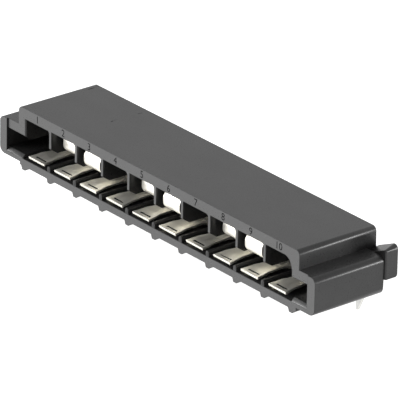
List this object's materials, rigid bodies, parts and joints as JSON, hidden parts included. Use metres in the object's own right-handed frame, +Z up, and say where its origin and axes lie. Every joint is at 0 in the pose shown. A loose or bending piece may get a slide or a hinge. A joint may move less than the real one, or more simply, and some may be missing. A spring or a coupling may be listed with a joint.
{
  "type": "fpc connector",
  "caption": "Right-angle board connector for flat film: a black moulded housing with an open slot and a row of bent spring contacts with solder tails.",
  "frame": {"origin": "on the board surface, in the middle of the row of contacts and halfway between the housing's front and back faces", "axes": "+X along the row towards the end with the ear, +Y away from the film's mouth towards the solder tails, +Z up from the board"},
  "size_m": [0.0301, 0.0066, 0.0063],
  "materials": {
    "housing": "satin moulded, fine grain",
    "contact": "bright tin plate"
  },
  "bodies": {
    "root": {"housing": "housing", "contact_01": "contact", "contact_02": "contact", "contact_03": "contact", "contact_04": "contact", "contact_05": "contact", "contact_06": "contact", "contact_07": "contact", "contact_08": "contact", "contact_09": "contact", "contact_10": "contact"}
  },
  "joints": []
}
